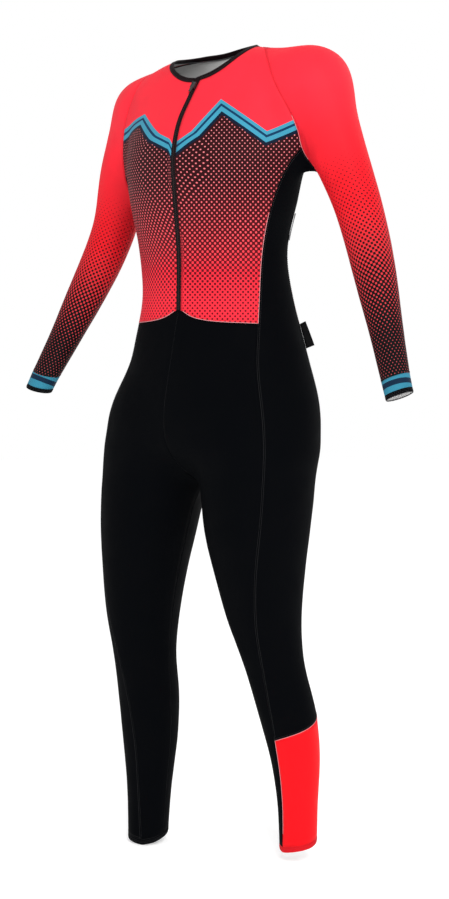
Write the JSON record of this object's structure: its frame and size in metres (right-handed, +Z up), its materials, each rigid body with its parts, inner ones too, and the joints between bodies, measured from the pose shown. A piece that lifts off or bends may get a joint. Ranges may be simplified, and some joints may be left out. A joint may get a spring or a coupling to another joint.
{
  "type": "cycling suit",
  "caption": "Hollow one-piece cycling suit with long sleeves and full legs: round bound neck, front zip to the waist, long side panels, banded cuffs and a contrast panel at the left ankle.",
  "frame": {"origin": "middle of the neck opening, where the wearer's shoulders carry the suit", "axes": "+Z up, the front faces -Y, the wearer's left is +X"},
  "size_m": [0.7504, 0.2569, 1.3531],
  "materials": {
    "red_cloth": "smooth stretch knit with a slight sheen",
    "black_cloth": "smooth matt stretch knit",
    "cuff_cloth": "smooth stretch knit, striped",
    "label_cloth": "woven",
    "reflective_tape": "satin grey reflective film",
    "zip_tape": "woven tape with moulded teeth",
    "zip_metal": "black lacquer"
  },
  "bodies": {
    "suit": {"neck_binding": "black_cloth", "zip_tape": "zip_tape", "zip_slider": "zip_metal", "back": "red_cloth", "front_left": "red_cloth", "front_right": "red_cloth", "sleeve_left": "red_cloth", "sleeve_right": "red_cloth", "cuff_left": "cuff_cloth", "cuff_right": "cuff_cloth", "cuff_hem_left": "black_cloth", "cuff_hem_right": "black_cloth", "side_left": "black_cloth", "side_right": "black_cloth", "leg_front_left": "black_cloth", "leg_front_right": "black_cloth", "leg_back_left": "black_cloth", "leg_back_right": "black_cloth", "ankle_panel_left": "red_cloth", "ankle_hem_left": "red_cloth", "ankle_hem_right": "black_cloth", "side_label": "label_cloth", "reflective_tab": "reflective_tape"},
    "zip_pull": {"zip_pull": "zip_metal"}
  },
  "joints": [
    {"name": "zip_pull_turn", "type": "hinge", "parent": "suit", "child": "zip_pull", "pos_m": [0.01429, -0.08606, -0.06104], "axis": [-0.9763, 0.065, 0.2062], "range_deg": [0, 140]}
  ]
}
